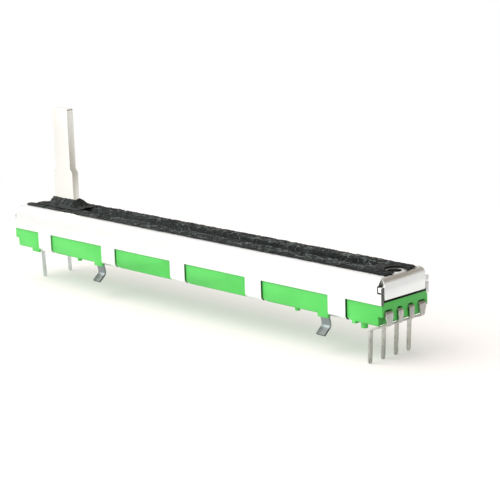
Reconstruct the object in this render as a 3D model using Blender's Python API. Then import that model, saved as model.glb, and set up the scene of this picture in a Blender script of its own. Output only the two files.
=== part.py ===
"""Slide potentiometer with a 60 mm travel: a bent sheet cover over a moulded base, a tall lever,
a dust strip, and leads that stand at both ends.

Frame: origin at the centre of the base's underside, +X towards the end with four leads,
+Z up through the lever. Lengths are in metres.
"""
import math

import bmesh
import bpy
from mathutils import Matrix, Vector

MM = 0.001

# Travel and length of the body
TRAVEL = 60.0 * MM
END_ROOM = 7.5 * MM              # from the lever's centre at its limit to the end of the cover
REST_OFFSET = 0.3 * MM           # the lever rests this far from its far limit

# Clearances
LAYER_GAP = 0.05 * MM            # between thin layers that lie on each other
SEAT_GAP = 0.1 * MM              # between pieces that sit in or on each other
RUN_GAP = 0.1 * MM               # beside and below a piece that slides
GUIDE_GAP = 0.2 * MM             # between the carriage and the cover's walls
SLOT_GAP = 0.3 * MM              # between the lever's faces and the cover's slot
STOP_GAP = 0.25 * MM             # between the lever's edge and the slot's end at the limit
CARRIAGE_STOP_GAP = 0.65 * MM    # between the carriage and the base's end wall at the limit

# Cover, bent from one sheet
COVER_WIDTH = 9.2 * MM
COVER_TOP = 6.25 * MM            # height of its top above the base's underside
SHEET = 0.5 * MM
EDGE_BEND = 1.0 * MM             # radius of the long bends, at the middle of the sheet
FLAP_BEND = 0.75 * MM            # radius of the end flap's bend, at the middle of the sheet
FLAP_SIDE = 0.67 * MM            # from the cover's side to the flap's edge
FLAP_GAP = 0.28 * MM             # between the flap and the base's end wall
FLAP_LAP = 0.3 * MM              # the flat stretch shared by the top and the flap
FLAP_TAPER = 0.1 * MM            # the flap starts to narrow this far before its bend
EAR_DROP = 1.15 * MM             # from the cover's top to the top of the flap's ears
EAR_HEIGHT = 0.7 * MM
EAR_ROUND = 0.15 * MM
EAR_GAP = 0.15 * MM              # between an ear and the wall that it reaches across
CORNER_INSET = 0.5 * MM          # from the cover's end to the wall's end above the ears
CORNER_ROUND = 0.4 * MM
CORNER_SLIT = 0.12 * MM          # between the flap's edge and the bent corner beside it
SLIT_INSET = 0.6 * MM            # from the cover's end to the closed end of that slit
HOLE_INSET = 1.75 * MM           # from the cover's end to the centre of its fixing hole
HOLE_RADIUS = 0.95 * MM
TABS_PER_SIDE = 5
TAB_WIDTH = 3.0 * MM
TAB_LAP = 0.5 * MM               # the stretch shared by a tab and the wall above it
TAB_FOOT_LENGTH = 0.67 * MM
TAB_FOOT_SLOPE = math.radians(30.0)
TAB_CORNER_HEIGHT = 0.38 * MM
TAB_BEND = 0.35 * MM

# Dust strip
STRIP_THICKNESS = 0.3 * MM
STRIP_WIDTH = 6.2 * MM
NEAR_STRIP_INSET = 0.65 * MM     # from the cover's end to the strip's end
FAR_STRIP_INSET = 1.2 * MM
STRIP_SLIT_GAP = 0.1 * MM        # between the lever's faces and the strip's slit
NEAR_NOTCH_RADIUS = 1.15 * MM
NEAR_NOTCH_OFFSET = -0.1 * MM
NEAR_NOTCH_DEPTH = 1.8 * MM
FAR_NOTCH_RADIUS = 2.0 * MM
FAR_NOTCH_OFFSET = -0.1 * MM
FAR_NOTCH_DEPTH = 2.2 * MM

# Base, a moulded tray
SILL_INSET = 0.22 * MM           # from the cover's side to the sill's side
SILL_TOP = 2.7 * MM
SILL_CHAMFER = 0.15 * MM
SILL_CORNER = 0.3 * MM           # rounded top corner beside each tab
TRAY_WALL = 0.5 * MM
FLOOR = 0.9 * MM
BASE_END_INSET = 0.05 * MM       # from the cover's end to the base's end
END_WALL = 0.7 * MM
END_WALL_TOP = 3.1 * MM
FINGER_BOTTOM = 0.5 * MM         # the end wall's fingers stop above the underside
CORNER_CUT_WIDTH = 0.48 * MM
CORNER_CUT_HEIGHT = 1.25 * MM
RELIEF_HEIGHT = 0.4 * MM         # slanted relief beside each tab
RELIEF_LENGTH = 0.8 * MM
LIP_OFFSET = 2.6 * MM            # from a tab's centre to the lip beside it
LIP_WIDTH = 1.8 * MM
LIP_THICKNESS = 0.25 * MM
LIP_DROP = 0.4 * MM
LIP_TABS = (0, 1, 4)             # tabs with a lip, counted from the far end
PIP_RADIUS = 0.35 * MM
PIP_INSET = 0.5 * MM             # from the sill's side to a pip's centre
PIP_DROP = 0.4 * MM
PEG_INSET = 3.75 * MM            # from the cover's end to the locating peg
PEG_SIDE = 0.88 * MM             # from the sill's side to the peg's centre
PEG_RADIUS = 0.45 * MM
PEG_DROP = 0.8 * MM
NUB_INSET = 4.8 * MM             # from the cover's end to the small nub beside the peg
NUB_LENGTH = 0.65 * MM
NUB_THICKNESS = 0.85 * MM
NUB_DROP = 0.25 * MM

# Resistor board and its printed tracks
BOARD_THICKNESS = 0.5 * MM
TRACK_THICKNESS = 0.1 * MM
TRACK_WIDTH = 0.9 * MM
TRACK_MARGIN = 0.1 * MM          # from the board's side to the outer track
TRACK_INSET = 0.25 * MM          # from the board's end to a track's end

# Leads
LEAD_THICKNESS = 0.25 * MM
OUTER_LEAD_WIDTH = 1.35 * MM     # at the top of the curl
INNER_LEAD_WIDTH = 0.95 * MM
CURL_BEND = 0.35 * MM
KNEE_BEND = 0.5 * MM             # where the link turns down into the pin
LEAD_STANDOFF = 0.15 * MM        # from the base's end to the middle of the curled strip
NOTCH_MARGIN = 0.4 * MM          # from the sill's side to the outer notch
NOTCH_SIDE_GAP = 0.1 * MM
NOTCH_HEADROOM = 0.2 * MM
NOTCH_ROUND = 0.35 * MM
TONGUE_MARGIN = 0.13 * MM        # from the cavity's side to the outer tongue
TONGUE_WIDTH = 0.65 * MM
TONGUE_LENGTH = 1.65 * MM
TONGUE_FLARE = 0.15 * MM         # length over which the tongue widens to the full strip
CURL_TAPER_TOP = 1.15 * MM       # height at which the curl starts to narrow
CURL_BOTTOM = 0.1 * MM
CURL_FOOT_WIDTH = 0.8 * MM
LINK_REACH = 2.6 * MM            # how far the sloping link runs back under the base
LINK_BOTTOM = -0.8 * MM
PIN_PITCH = 2.5 * MM
PIN_WIDTH = 0.65 * MM
PIN_LEAN = 0.2 * MM
PIN_TIP = -5.23 * MM
PIN_POINT_WIDTH = 0.42 * MM
PIN_POINT_LENGTH = 0.25 * MM
NEAR_POSITIONS = (-1.5, -0.5, 0.5, 1.5)      # from the middle, in pitches
FAR_POSITIONS = (-0.5, 1.5)

# Mounting legs
LEG_WIDTH = 1.5 * MM
LEG_THICKNESS = 0.3 * MM
LEG_ROOT = 0.75 * MM             # height of the leg's end inside the base
LEG_EXIT = -0.5 * MM
LEG_LEAN = 0.28 * MM
LEG_KNEE = -1.6 * MM
LEG_KICK = 1.25 * MM
LEG_TIP = -2.65 * MM
LEG_BEND = 0.7 * MM
LEG_TABS = (1, 4)

# Lever
LEVER_WIDTH = 4.45 * MM
LEVER_THICKNESS = 1.2 * MM
LEVER_TIP_WIDTH = 3.5 * MM
LEVER_RISE = 15.25 * MM          # above the cover's top
SHOULDER_RISE = 5.55 * MM
SHOULDER_HEIGHT = 0.6 * MM
LEVER_TIP_ROUND = 0.3 * MM
LEVER_EDGE = 0.08 * MM
LEVER_FOOT_SPREAD = 1.275 * MM   # how far the foot stands out on each side

# Carriage and the springs that it carries
WIPER_ROOM = 0.7 * MM
SPRING_ROOM = 0.5 * MM
CARRIAGE_CHAMFER = 0.3 * MM
POCKET_FLOOR = 1.2 * MM
WIPER_SHEET = 0.1 * MM
WIPER_PLATE = 0.14 * MM
WIPER_PLATE_LENGTH = 2.0 * MM
WIPER_ARM_LENGTH = 1.8 * MM
WIPER_TIP_LENGTH = 0.4 * MM
WIPER_TIP_RISE = 0.1 * MM
WIPER_ARM_WIDTH = 0.3 * MM
WIPER_ARM_PITCH = 0.45 * MM
WIPER_BEND = 0.3 * MM
SPRING_SHEET = 0.15 * MM
SPRING_WIDTH = 4.5 * MM
SPRING_INSET = 0.6 * MM          # from the carriage's end to the leaf spring's end
SPRING_RAMP = 2.6 * MM
SPRING_BEND = 2.0 * MM

# Resolution of the round shapes
ARC_STEPS = 5
ROUND_SIDES = 32
OVERLAP = 0.2 * MM               # how far shapes that are joined reach into each other
CLEAR = 1.0 * MM                 # how far cutting shapes reach past the piece
NEARLY_STRAIGHT = math.radians(89.5)     # half the angle of a bend that needs no arc
SHARP_EDGE = math.radians(60)    # edges that turn further than this are eased

# Worked out from the sizes above
HALF_LENGTH = TRAVEL / 2 + END_ROOM
HALF_COVER = COVER_WIDTH / 2
COVER_CEILING = COVER_TOP - SHEET
SKIRT_BOTTOM = SILL_TOP + SEAT_GAP
HALF_FLAP = HALF_COVER - FLAP_SIDE
FLAP_BOTTOM = END_WALL_TOP + FLAP_GAP
FLAP_START = HALF_LENGTH - SHEET / 2 - FLAP_BEND
TAB_PITCH = TRAVEL / (TABS_PER_SIDE - 1)
TAB_PLACES = [-TRAVEL / 2 + number * TAB_PITCH for number in range(TABS_PER_SIDE)]
SLOT_HALF_LENGTH = TRAVEL / 2 + LEVER_WIDTH / 2 + STOP_GAP
HALF_SILL = HALF_COVER - SILL_INSET
HALF_TRAY = HALF_COVER - SHEET - SEAT_GAP
HALF_CAVITY = HALF_TRAY - TRAY_WALL
BASE_HALF_LENGTH = HALF_LENGTH - BASE_END_INSET
CAVITY_HALF_LENGTH = BASE_HALF_LENGTH - END_WALL
BOARD_BOTTOM = FLOOR + LAYER_GAP
BOARD_TOP = BOARD_BOTTOM + BOARD_THICKNESS
BOARD_HALF_LENGTH = CAVITY_HALF_LENGTH - SEAT_GAP
TRACK_BOTTOM = BOARD_TOP + LAYER_GAP
TRACK_TOP = TRACK_BOTTOM + TRACK_THICKNESS
OUTER_POSITION = max(NEAR_POSITIONS)
TRACK_PITCH = (HALF_CAVITY - SEAT_GAP - TRACK_MARGIN - TRACK_WIDTH / 2) / OUTER_POSITION
TONGUE_PITCH = (HALF_CAVITY - TONGUE_MARGIN - TONGUE_WIDTH / 2) / OUTER_POSITION
TONGUE_HEIGHT = TRACK_TOP + LAYER_GAP + LEAD_THICKNESS / 2
NOTCH_TOP = TONGUE_HEIGHT + LEAD_THICKNESS / 2 + NOTCH_HEADROOM
LEAD_WIDTHS = {
    position: OUTER_LEAD_WIDTH if abs(position) == OUTER_POSITION else INNER_LEAD_WIDTH
    for position in NEAR_POSITIONS
}
NOTCH_PITCH = (HALF_SILL - NOTCH_MARGIN - NOTCH_SIDE_GAP - OUTER_LEAD_WIDTH / 2) / OUTER_POSITION
LEG_PLACE = HALF_SILL - LIP_THICKNESS - SEAT_GAP - LEG_THICKNESS / 2
CARRIAGE_BOTTOM = TRACK_TOP + WIPER_ROOM
CARRIAGE_TOP = COVER_CEILING - SPRING_ROOM
CARRIAGE_HALF_LENGTH = CAVITY_HALF_LENGTH - TRAVEL / 2 - CARRIAGE_STOP_GAP
HALF_FOOT = LEVER_WIDTH / 2 + LEVER_FOOT_SPREAD
LEVER_REST = -TRAVEL / 2 + REST_OFFSET

# Where a shape's two outline coordinates and its third coordinate go
ALONG = {
    "X": lambda a, b, c: (c, a, b),
    "Y": lambda a, b, c: (a, c, b),
    "Z": lambda a, b, c: (a, b, c),
}


def clear_scene():
    for old in list(bpy.data.objects):
        bpy.data.objects.remove(old, do_unlink=True)


def make_material(name, colour, roughness, metallic):
    material = bpy.data.materials.new(name)
    material.use_nodes = True
    shader = material.node_tree.nodes["Principled BSDF"]
    shader.inputs["Base Color"].default_value = (*colour, 1.0)
    shader.inputs["Roughness"].default_value = roughness
    shader.inputs["Metallic"].default_value = metallic
    material.diffuse_color = (*colour, 1.0)
    return material


def make_object(name, shape, material=None, parent=None):
    """Turns a bmesh into an object with outward faces."""
    bmesh.ops.recalc_face_normals(shape, faces=shape.faces)
    mesh = bpy.data.meshes.new(name)
    shape.to_mesh(mesh)
    shape.free()
    made = bpy.data.objects.new(name, mesh)
    bpy.context.collection.objects.link(made)
    made.parent = parent
    if material:
        mesh.materials.append(material)
    return made


def combine(target, tool, operation):
    """Joins a tool to the target, or cuts the target with it."""
    change = target.modifiers.new(tool.name, "BOOLEAN")
    change.operation = operation
    change.object = tool
    tool.hide_render = True
    tool.display_type = "WIRE"


def add_prism(shape, outline, axis, low, high):
    """Extrudes a closed outline along one axis."""
    place = ALONG[axis]
    corners = [shape.verts.new(place(a, b, low)) for a, b in outline]
    face = shape.faces.new(corners)
    grown = bmesh.ops.extrude_face_region(shape, geom=[face])
    moved = [item for item in grown["geom"] if isinstance(item, bmesh.types.BMVert)]
    bmesh.ops.translate(shape, verts=moved, vec=place(0, 0, high - low))


def add_box(shape, x_range, y_range, z_range):
    outline = [(x, y) for x, y in zip((*x_range, *reversed(x_range)), sorted(y_range * 2))]
    add_prism(shape, outline, "Z", *z_range)


def add_cylinder(shape, centre, radius, z_range):
    bottom, top = z_range
    bmesh.ops.create_cone(
        shape,
        cap_ends=True,
        segments=ROUND_SIDES,
        radius1=radius,
        radius2=radius,
        depth=top - bottom,
        matrix=Matrix.Translation((*centre, (bottom + top) / 2)),
    )


def arc(centre, radius, start, end, steps=ARC_STEPS):
    """Points of an arc, with its angles in degrees."""
    angles = [math.radians(start + (end - start) * step / steps) for step in range(steps + 1)]
    return [(centre[0] + radius * math.cos(a), centre[1] + radius * math.sin(a)) for a in angles]


def round_corners(stations, radii):
    """Replaces each inner corner of a bent path by an arc with its own radius.

    A station is (a, b, side, width): a point of the path, and the strip's place and width there.
    """
    path = [stations[0]]
    for before, corner, after, radius in zip(stations, stations[1:], stations[2:], radii):
        point = Vector(corner[:2])
        back = (Vector(before[:2]) - point).normalized()
        ahead = (Vector(after[:2]) - point).normalized()
        half_angle = back.angle(ahead) / 2
        if half_angle > NEARLY_STRAIGHT:
            path.append(corner)
            continue
        centre = point + (back + ahead).normalized() * radius / math.sin(half_angle)
        spoke = point + back * radius / math.tan(half_angle) - centre
        turn = math.copysign(math.pi - 2 * half_angle, back.y * ahead.x - back.x * ahead.y)
        for step in range(ARC_STEPS + 1):
            spot = centre + Matrix.Rotation(turn * step / ARC_STEPS, 2) @ spoke
            path.append((spot.x, spot.y, *corner[2:]))
    path.append(stations[-1])
    return path


def add_strip(shape, stations, thickness, radii, axis):
    """Adds a flat strip bent along a path, with its width along the given axis.

    The bends have one radius, or a list with a radius for each inner corner.
    """
    place = ALONG[axis]
    path = round_corners(stations, radii if isinstance(radii, list) else [radii] * len(stations))
    points = [Vector(station[:2]) for station in path]
    runs = [(after - before).normalized() for before, after in zip(points, points[1:])]
    sections = []
    for number, (point, station) in enumerate(zip(points, path)):
        before = runs[max(number - 1, 0)]
        after = runs[min(number, len(runs) - 1)]
        normal = Vector((-before.y - after.y, before.x + after.x)).normalized()
        offset = normal * thickness / 2 / normal.dot(Vector((-before.y, before.x)))
        side, width = station[2:]
        corners = []
        for across, along in ((1, -1), (1, 1), (-1, 1), (-1, -1)):
            spot = point + across * offset
            corners.append(shape.verts.new(place(spot.x, spot.y, side + along * width / 2)))
        sections.append(corners)
    for first, second in zip(sections, sections[1:]):
        for edge in range(4):
            following = (edge + 1) % 4
            shape.faces.new((first[edge], first[following], second[following], second[edge]))
    shape.faces.new(sections[0])
    shape.faces.new(reversed(sections[-1]))


def make_cover(material):
    """Channel with end flaps, folded tabs, the lever's slot and two fixing holes."""
    wall_middle = HALF_COVER - SHEET / 2
    top_middle = COVER_TOP - SHEET / 2
    channel = bmesh.new()
    profile = [
        (-wall_middle, SKIRT_BOTTOM, 0, 2 * HALF_LENGTH),
        (-wall_middle, top_middle, 0, 2 * HALF_LENGTH),
        (wall_middle, top_middle, 0, 2 * HALF_LENGTH),
        (wall_middle, SKIRT_BOTTOM, 0, 2 * HALF_LENGTH),
    ]
    add_strip(channel, profile, SHEET, EDGE_BEND, "X")
    cover = make_object("cover", channel, material)
    combine(cover, make_wall_end_cuts(), "DIFFERENCE")
    combine(cover, make_flap_room(), "DIFFERENCE")
    combine(cover, make_flaps(), "UNION")
    combine(cover, make_ears(), "UNION")
    combine(cover, make_tabs(), "UNION")
    combine(cover, make_cover_openings(), "DIFFERENCE")
    return cover


def make_wall_end_cuts():
    """What the walls' ends lack, seen from the side: the ears' room and the rounded top corner."""
    ear_top = COVER_TOP - EAR_DROP
    room_bottom = ear_top - EAR_HEIGHT - EAR_GAP
    room_top = ear_top + EAR_GAP
    room_end = HALF_LENGTH - SHEET - EAR_GAP
    corner_end = HALF_LENGTH - CORNER_INSET
    outer = HALF_LENGTH + CLEAR
    above = COVER_TOP + CLEAR
    outline = [(outer, room_bottom), (room_end, room_bottom), (room_end, room_top), (corner_end, room_top)]
    outline += arc((corner_end - CORNER_ROUND, COVER_TOP - CORNER_ROUND), CORNER_ROUND, 0, 90)
    outline += [(corner_end - CORNER_ROUND, above), (outer, above)]
    shape = bmesh.new()
    for end in (-1, 1):
        add_prism(shape, [(end * x, z) for x, z in outline], "Y", -HALF_COVER - CLEAR, HALF_COVER + CLEAR)
    return make_object("cover_wall_end_cuts", shape)


def make_flap_room():
    """Room between the bent corners for the flap, with a slit on each side of it."""
    joined = HALF_FLAP - CORNER_SLIT
    apart = HALF_FLAP + CORNER_SLIT
    slit_start = HALF_LENGTH - SLIT_INSET
    outer = HALF_LENGTH + CLEAR
    outline = [(FLAP_START, -joined), (FLAP_START, joined), (slit_start, joined), (slit_start, apart)]
    outline += [(outer, apart), (outer, -apart), (slit_start, -apart), (slit_start, -joined)]
    shape = bmesh.new()
    for end in (-1, 1):
        add_prism(shape, [(end * x, y) for x, y in outline], "Z", SKIRT_BOTTOM - CLEAR, COVER_TOP + CLEAR)
    return make_object("cover_flap_room", shape)


def make_flaps():
    """The end flaps, bent down from the top."""
    middle = COVER_TOP - SHEET / 2
    flat_width = 2 * (HALF_COVER - SHEET / 2 - EDGE_BEND)
    drop = HALF_LENGTH - SHEET / 2
    shape = bmesh.new()
    for end in (-1, 1):
        stations = [
            (end * (FLAP_START - FLAP_LAP), middle, 0, flat_width),
            (end * (FLAP_START - FLAP_TAPER), middle, 0, flat_width),
            (end * drop, middle, 0, 2 * HALF_FLAP),
            (end * drop, FLAP_BOTTOM, 0, 2 * HALF_FLAP),
        ]
        add_strip(shape, stations, SHEET, FLAP_BEND, "Y")
    return make_object("cover_flaps", shape)


def make_ears():
    """The ears that reach from each flap across the walls' ends."""
    top = COVER_TOP - EAR_DROP
    bottom = top - EAR_HEIGHT
    reach = HALF_COVER - EAR_ROUND
    outline = arc((reach, bottom + EAR_ROUND), EAR_ROUND, -90, 0)
    outline += arc((reach, top - EAR_ROUND), EAR_ROUND, 0, 90)
    outline += arc((-reach, top - EAR_ROUND), EAR_ROUND, 90, 180)
    outline += arc((-reach, bottom + EAR_ROUND), EAR_ROUND, 180, 270)
    shape = bmesh.new()
    for end in (-1, 1):
        faces = sorted((end * HALF_LENGTH, end * (HALF_LENGTH - SHEET)))
        add_prism(shape, outline, "X", *faces)
    return make_object("cover_ears", shape)


def make_tabs():
    """The tabs on both sides, with feet folded under the base."""
    wall_middle = HALF_COVER - SHEET / 2
    foot_end = wall_middle - TAB_FOOT_LENGTH * math.cos(TAB_FOOT_SLOPE)
    foot_height = TAB_CORNER_HEIGHT - TAB_FOOT_LENGTH * math.sin(TAB_FOOT_SLOPE)
    shape = bmesh.new()
    for side in (-1, 1):
        for place in TAB_PLACES:
            stations = [
                (side * wall_middle, SKIRT_BOTTOM + TAB_LAP, place, TAB_WIDTH),
                (side * wall_middle, TAB_CORNER_HEIGHT, place, TAB_WIDTH),
                (side * foot_end, foot_height, place, TAB_WIDTH),
            ]
            add_strip(shape, stations, SHEET, TAB_BEND, "X")
    return make_object("cover_tabs", shape)


def make_cover_openings():
    half_width = LEVER_THICKNESS / 2 + SLOT_GAP
    z_range = (COVER_CEILING - OVERLAP, COVER_TOP + CLEAR)
    shape = bmesh.new()
    add_box(shape, (-SLOT_HALF_LENGTH, SLOT_HALF_LENGTH), (-half_width, half_width), z_range)
    for end in (-1, 1):
        add_cylinder(shape, (end * (HALF_LENGTH - HOLE_INSET), 0), HOLE_RADIUS, z_range)
    return make_object("cover_openings", shape)


def make_dust_strip(material):
    """Strip glued on the cover, slit along the lever's path and notched round the fixing holes."""
    bottom = COVER_TOP + LAYER_GAP
    near_end = HALF_LENGTH - NEAR_STRIP_INSET
    far_end = HALF_LENGTH - FAR_STRIP_INSET
    half_slit = LEVER_THICKNESS / 2 + STRIP_SLIT_GAP
    z_range = (bottom - CLEAR, bottom + CLEAR)
    plate = bmesh.new()
    add_box(plate, (-far_end, near_end), (-STRIP_WIDTH / 2, STRIP_WIDTH / 2),
            (bottom, bottom + STRIP_THICKNESS))
    strip = make_object("dust_strip", plate, material)
    slit = bmesh.new()
    add_box(slit, (-SLOT_HALF_LENGTH, SLOT_HALF_LENGTH), (-half_slit, half_slit), z_range)
    combine(strip, make_object("strip_slit", slit), "DIFFERENCE")
    notches = bmesh.new()
    for end, end_place, offset, radius, depth in (
        (1, near_end, NEAR_NOTCH_OFFSET, NEAR_NOTCH_RADIUS, NEAR_NOTCH_DEPTH),
        (-1, far_end, FAR_NOTCH_OFFSET, FAR_NOTCH_RADIUS, FAR_NOTCH_DEPTH),
    ):
        centre = end_place - depth + radius
        outline = arc((centre, offset), radius, 90, 270, 2 * ARC_STEPS)
        outline += [(end_place + CLEAR, offset - radius), (end_place + CLEAR, offset + radius)]
        add_prism(notches, [(end * x, y) for x, y in outline], "Z", *z_range)
    combine(strip, make_object("strip_notches", notches), "DIFFERENCE")
    return strip


def make_base(material):
    """Moulded tray with end walls, lips, pips and pegs."""
    body = bmesh.new()
    outline = [
        (SILL_CHAMFER - HALF_SILL, 0),
        (HALF_SILL - SILL_CHAMFER, 0),
        (HALF_SILL, SILL_CHAMFER),
        (HALF_SILL, SILL_TOP),
        (-HALF_SILL, SILL_TOP),
        (-HALF_SILL, SILL_CHAMFER),
    ]
    add_prism(body, outline, "X", -BASE_HALF_LENGTH, BASE_HALF_LENGTH)
    base = make_object("base", body, material)
    combine(base, make_base_additions(), "UNION")
    combine(base, make_base_cavity(), "DIFFERENCE")
    combine(base, make_tab_recesses(), "DIFFERENCE")
    combine(base, make_reliefs(), "DIFFERENCE")
    combine(base, make_lead_notches(), "DIFFERENCE")
    combine(base, make_end_trims(), "DIFFERENCE")
    combine(base, make_leg_pockets(), "DIFFERENCE")
    return base


def make_base_additions():
    """The upper end walls, and what stands out below the underside."""
    shape = bmesh.new()
    for end in (-1, 1):
        x_range = sorted((end * BASE_HALF_LENGTH, end * CAVITY_HALF_LENGTH))
        add_box(shape, x_range, (-HALF_TRAY, HALF_TRAY), (SILL_TOP - OVERLAP, END_WALL_TOP))
        for side in (-1, 1):
            spot = (end * (TRAVEL / 2 - TAB_PITCH / 2), side * (HALF_SILL - PIP_INSET))
            add_cylinder(shape, spot, PIP_RADIUS, (-PIP_DROP, OVERLAP))
        peg = (end * (HALF_LENGTH - PEG_INSET), -end * (HALF_SILL - PEG_SIDE))
        add_cylinder(shape, peg, PEG_RADIUS, (-PEG_DROP, OVERLAP))
        nub_x = end * (HALF_LENGTH - NUB_INSET)
        nub_y = sorted((-end * HALF_SILL, -end * (HALF_SILL - NUB_THICKNESS)))
        add_box(shape, (nub_x - NUB_LENGTH / 2, nub_x + NUB_LENGTH / 2), nub_y,
                (-NUB_DROP, OVERLAP))
    for tab in LIP_TABS:
        middle = TAB_PLACES[tab] - LIP_OFFSET
        add_box(shape, (middle - LIP_WIDTH / 2, middle + LIP_WIDTH / 2),
                (-HALF_SILL, LIP_THICKNESS - HALF_SILL), (-LIP_DROP, OVERLAP))
    return make_object("base_additions", shape)


def make_base_cavity():
    shape = bmesh.new()
    add_box(shape, (-CAVITY_HALF_LENGTH, CAVITY_HALF_LENGTH), (-HALF_CAVITY, HALF_CAVITY),
            (FLOOR, END_WALL_TOP + CLEAR))
    return make_object("base_cavity", shape)


def make_tab_recesses():
    """Room in the sill and under it for the cover's tabs and their feet."""
    wall_middle = HALF_COVER - SHEET / 2
    foot_reach = TAB_FOOT_LENGTH * math.cos(TAB_FOOT_SLOPE) + SHEET / 2 * math.sin(TAB_FOOT_SLOPE)
    inner = wall_middle - foot_reach - SEAT_GAP
    foot_top = TAB_CORNER_HEIGHT + SHEET / 2 / math.cos(TAB_FOOT_SLOPE)
    outer = HALF_COVER + CLEAR
    outline = [
        (HALF_TRAY, SILL_TOP + CLEAR),
        (HALF_TRAY, foot_top),
        (inner, foot_top),
        (inner, -CLEAR),
        (outer, -CLEAR),
        (outer, SILL_TOP + CLEAR),
    ]
    half_width = TAB_WIDTH / 2 + SEAT_GAP
    shape = bmesh.new()
    for side in (-1, 1):
        for place in TAB_PLACES:
            add_prism(shape, [(side * y, z) for y, z in outline], "X",
                      place - half_width, place + half_width)
    return make_object("base_tab_recesses", shape)


def make_reliefs():
    """Beside each tab, the slanted relief in the sill's lower edge and its rounded top corner."""
    shape = bmesh.new()
    inner = HALF_TRAY - SILL_CHAMFER
    for place in TAB_PLACES:
        edge = place + TAB_WIDTH / 2
        relief = [
            (edge, -OVERLAP),
            (edge + SEAT_GAP + RELIEF_LENGTH, -OVERLAP),
            (edge + SEAT_GAP + RELIEF_LENGTH, 0),
            (edge + SEAT_GAP, RELIEF_HEIGHT),
            (edge, RELIEF_HEIGHT),
        ]
        sill_end = place - TAB_WIDTH / 2 - SEAT_GAP
        corner = arc((sill_end - SILL_CORNER, SILL_TOP - SILL_CORNER), SILL_CORNER, 0, 90)
        corner += [(sill_end - SILL_CORNER, SILL_TOP + OVERLAP), (sill_end + OVERLAP, SILL_TOP + OVERLAP)]
        corner.append((sill_end + OVERLAP, SILL_TOP - SILL_CORNER))
        for side in (-1, 1):
            faces = sorted((side * inner, side * (HALF_COVER + CLEAR)))
            add_prism(shape, relief, "Y", *faces)
            add_prism(shape, corner, "Y", *faces)
    return make_object("base_reliefs", shape)


def make_lead_notches():
    """The arched notches that the leads come out of."""
    height = NOTCH_TOP - NOTCH_ROUND
    shape = bmesh.new()
    for end, positions in ((1, NEAR_POSITIONS), (-1, FAR_POSITIONS)):
        x_range = sorted((end * (CAVITY_HALF_LENGTH - OVERLAP), end * (HALF_LENGTH + CLEAR)))
        for position in positions:
            middle = position * NOTCH_PITCH
            half_width = LEAD_WIDTHS[position] / 2 + NOTCH_SIDE_GAP
            reach = half_width - NOTCH_ROUND
            outline = arc((middle + reach, height), NOTCH_ROUND, 0, 90)
            outline += arc((middle - reach, height), NOTCH_ROUND, 90, 180)
            outline += [(middle - half_width, -CLEAR), (middle + half_width, -CLEAR)]
            add_prism(shape, outline, "X", *x_range)
    return make_object("base_lead_notches", shape)


def make_end_trims():
    """The cut corners and the raised underside of the end walls."""
    inner = HALF_SILL - CORNER_CUT_WIDTH
    outer = HALF_SILL + CLEAR
    outline = [
        (-outer, -CLEAR),
        (outer, -CLEAR),
        (outer, CORNER_CUT_HEIGHT),
        (inner, CORNER_CUT_HEIGHT),
        (inner, FINGER_BOTTOM),
        (-inner, FINGER_BOTTOM),
        (-inner, CORNER_CUT_HEIGHT),
        (-outer, CORNER_CUT_HEIGHT),
    ]
    shape = bmesh.new()
    for end in (-1, 1):
        x_range = sorted((end * CAVITY_HALF_LENGTH, end * (HALF_LENGTH + CLEAR)))
        add_prism(shape, outline, "X", *x_range)
    return make_object("base_end_trims", shape)


def make_leg_pockets():
    half_width = LEG_WIDTH / 2 + SEAT_GAP
    half_depth = LEG_THICKNESS / 2 + SEAT_GAP
    shape = bmesh.new()
    for tab in LEG_TABS:
        middle = TAB_PLACES[tab] - LIP_OFFSET
        add_box(shape, (middle - half_width, middle + half_width),
                (-LEG_PLACE - half_depth, -LEG_PLACE + half_depth), (-CLEAR, LEG_ROOT + SEAT_GAP))
    return make_object("base_leg_pockets", shape)


def make_board(material):
    half_width = HALF_CAVITY - SEAT_GAP
    shape = bmesh.new()
    add_box(shape, (-BOARD_HALF_LENGTH, BOARD_HALF_LENGTH), (-half_width, half_width),
            (BOARD_BOTTOM, BOARD_TOP))
    return make_object("resistor_board", shape, material)


def make_track(name, position, material):
    half_length = BOARD_HALF_LENGTH - TRACK_INSET
    middle = position * TRACK_PITCH
    shape = bmesh.new()
    add_box(shape, (-half_length, half_length), (middle - TRACK_WIDTH / 2, middle + TRACK_WIDTH / 2),
            (TRACK_BOTTOM, TRACK_TOP))
    return make_object(name, shape, material)


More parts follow.
